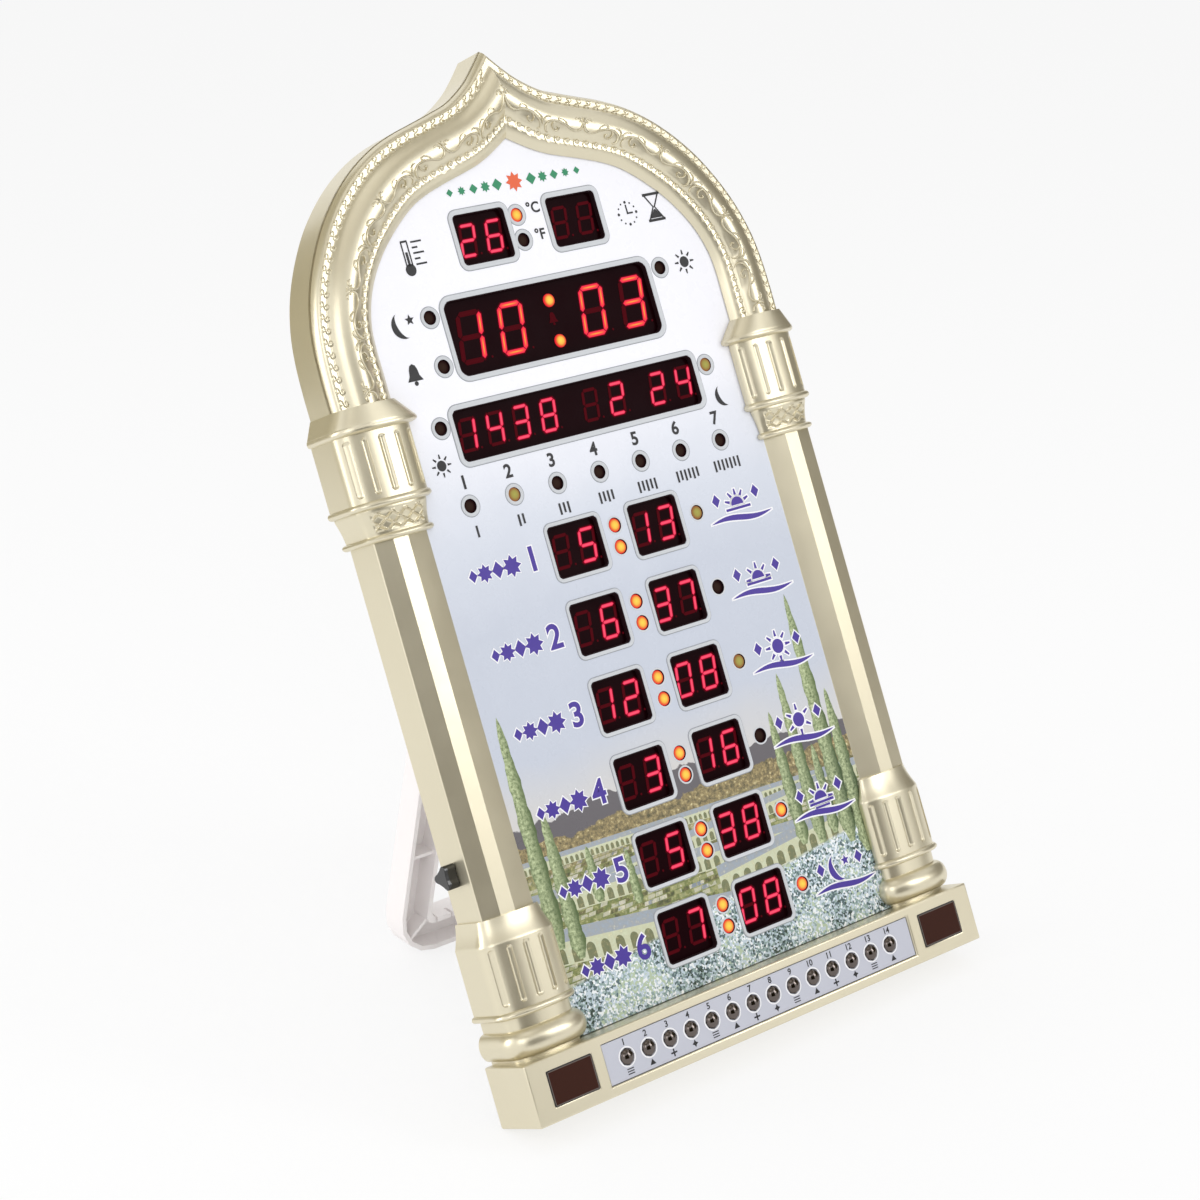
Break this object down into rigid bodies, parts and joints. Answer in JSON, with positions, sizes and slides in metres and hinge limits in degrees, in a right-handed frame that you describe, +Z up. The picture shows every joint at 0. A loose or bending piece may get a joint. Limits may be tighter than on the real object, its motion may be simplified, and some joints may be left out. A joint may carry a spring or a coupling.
{
  "type": "azan clock",
  "caption": "Digital azan prayer-time clock with an arched gold column frame, red number displays, a row of keys, a rear speaker and a folding easel stand.",
  "frame": {"origin": "centre of the bounding box's underside, where the clock stands on its base edge and its open stand", "axes": "+Z up, +X to the right as seen from the front, -Y towards the viewer"},
  "size_m": [0.235, 0.1978, 0.3713],
  "materials": {
    "gold_housing": "champagne gold lacquer, satin gloss",
    "white_plastic": "fine moulded texture",
    "printed_panel": "printed sheet, smooth",
    "dark_red_sheet": "smoked red, glossy",
    "display_module": "potted display block",
    "circuit_board": "solder mask",
    "cell_steel": "plated steel",
    "black_plastic": "plain moulded",
    "silver_strip": "silver paint",
    "chrome_key": "polished",
    "grey_ribbon": "flat cable",
    "brown_window": "dark brown, glossy",
    "speaker_steel": "black paint",
    "speaker_paper": "pressed paper",
    "magnet": "dark ferrite",
    "black_gloss": "polished black",
    "stand_plastic": "fine moulded texture",
    "pin_steel": "plain steel",
    "screw_steel": "zinc plated"
  },
  "bodies": {
    "case": {"front_bezel": "gold_housing", "rear_cover": "white_plastic", "front_panel": "printed_panel", "display_filter": "dark_red_sheet", "time_display": "display_module", "date_display": "display_module", "temperature_display": "display_module", "countdown_display": "display_module", "hour_display_1": "display_module", "hour_display_2": "display_module", "hour_display_3": "display_module", "hour_display_4": "display_module", "hour_display_5": "display_module", "hour_display_6": "display_module", "minute_display_1": "display_module", "minute_display_2": "display_module", "minute_display_3": "display_module", "minute_display_4": "display_module", "minute_display_5": "display_module", "minute_display_6": "display_module", "main_board": "circuit_board", "coin_cell": "cell_steel", "cell_holder": "black_plastic", "key_strip": "silver_strip", "key_board": "circuit_board", "ribbon_cable": "grey_ribbon", "ir_window_left": "brown_window", "ir_window_right": "brown_window", "speaker_frame": "speaker_steel", "speaker_cone": "speaker_paper", "speaker_magnet": "magnet", "volume_pot": "cell_steel", "dc_jack": "black_plastic", "hinge_pin": "pin_steel", "cover_screw_1": "screw_steel", "cover_screw_2": "screw_steel", "cover_screw_3": "screw_steel", "cover_screw_4": "screw_steel", "cover_screw_5": "screw_steel", "cover_screw_6": "screw_steel", "board_screw_1": "screw_steel", "board_screw_2": "screw_steel", "board_screw_3": "screw_steel", "board_screw_4": "screw_steel"},
    "stand": {"stand_leg": "stand_plastic"},
    "knob": {"volume_knob": "black_gloss"},
    "key_01": {"key_01": "chrome_key"},
    "key_02": {"key_02": "chrome_key"},
    "key_03": {"key_03": "chrome_key"},
    "key_04": {"key_04": "chrome_key"},
    "key_05": {"key_05": "chrome_key"},
    "key_06": {"key_06": "chrome_key"},
    "key_07": {"key_07": "chrome_key"},
    "key_08": {"key_08": "chrome_key"},
    "key_09": {"key_09": "chrome_key"},
    "key_10": {"key_10": "chrome_key"},
    "key_11": {"key_11": "chrome_key"},
    "key_12": {"key_12": "chrome_key"},
    "key_13": {"key_13": "chrome_key"},
    "key_14": {"key_14": "chrome_key"}
  },
  "joints": [
    {"name": "stand_fold", "type": "hinge", "parent": "case", "child": "stand", "pos_m": [0, 0.05592, 0.24894], "axis": [-1, 0, 0], "range_deg": [0, 27]},
    {"name": "volume_turn", "type": "hinge", "parent": "case", "child": "knob", "pos_m": [-0.114, -0.03887, 0.09133], "axis": [-1, 0, 0], "range_deg": [-150, 150]},
    {"name": "key_01_press", "type": "slide", "parent": "case", "child": "key_01", "axis": [0, 0.9026, -0.4305], "range_m": [0, 0.001], "stiffness_N_per_m": 300, "springref_m": -0.001},
    {"name": "key_02_press", "type": "slide", "parent": "case", "child": "key_02", "axis": [0, 0.9026, -0.4305], "range_m": [0, 0.001], "stiffness_N_per_m": 300, "springref_m": -0.001},
    {"name": "key_03_press", "type": "slide", "parent": "case", "child": "key_03", "axis": [0, 0.9026, -0.4305], "range_m": [0, 0.001], "stiffness_N_per_m": 300, "springref_m": -0.001},
    {"name": "key_04_press", "type": "slide", "parent": "case", "child": "key_04", "axis": [0, 0.9026, -0.4305], "range_m": [0, 0.001], "stiffness_N_per_m": 300, "springref_m": -0.001},
    {"name": "key_05_press", "type": "slide", "parent": "case", "child": "key_05", "axis": [0, 0.9026, -0.4305], "range_m": [0, 0.001], "stiffness_N_per_m": 300, "springref_m": -0.001},
    {"name": "key_06_press", "type": "slide", "parent": "case", "child": "key_06", "axis": [0, 0.9026, -0.4305], "range_m": [0, 0.001], "stiffness_N_per_m": 300, "springref_m": -0.001},
    {"name": "key_07_press", "type": "slide", "parent": "case", "child": "key_07", "axis": [0, 0.9026, -0.4305], "range_m": [0, 0.001], "stiffness_N_per_m": 300, "springref_m": -0.001},
    {"name": "key_08_press", "type": "slide", "parent": "case", "child": "key_08", "axis": [0, 0.9026, -0.4305], "range_m": [0, 0.001], "stiffness_N_per_m": 300, "springref_m": -0.001},
    {"name": "key_09_press", "type": "slide", "parent": "case", "child": "key_09", "axis": [0, 0.9026, -0.4305], "range_m": [0, 0.001], "stiffness_N_per_m": 300, "springref_m": -0.001},
    {"name": "key_10_press", "type": "slide", "parent": "case", "child": "key_10", "axis": [0, 0.9026, -0.4305], "range_m": [0, 0.001], "stiffness_N_per_m": 300, "springref_m": -0.001},
    {"name": "key_11_press", "type": "slide", "parent": "case", "child": "key_11", "axis": [0, 0.9026, -0.4305], "range_m": [0, 0.001], "stiffness_N_per_m": 300, "springref_m": -0.001},
    {"name": "key_12_press", "type": "slide", "parent": "case", "child": "key_12", "axis": [0, 0.9026, -0.4305], "range_m": [0, 0.001], "stiffness_N_per_m": 300, "springref_m": -0.001},
    {"name": "key_13_press", "type": "slide", "parent": "case", "child": "key_13", "axis": [0, 0.9026, -0.4305], "range_m": [0, 0.001], "stiffness_N_per_m": 300, "springref_m": -0.001},
    {"name": "key_14_press", "type": "slide", "parent": "case", "child": "key_14", "axis": [0, 0.9026, -0.4305], "range_m": [0, 0.001], "stiffness_N_per_m": 300, "springref_m": -0.001}
  ]
}
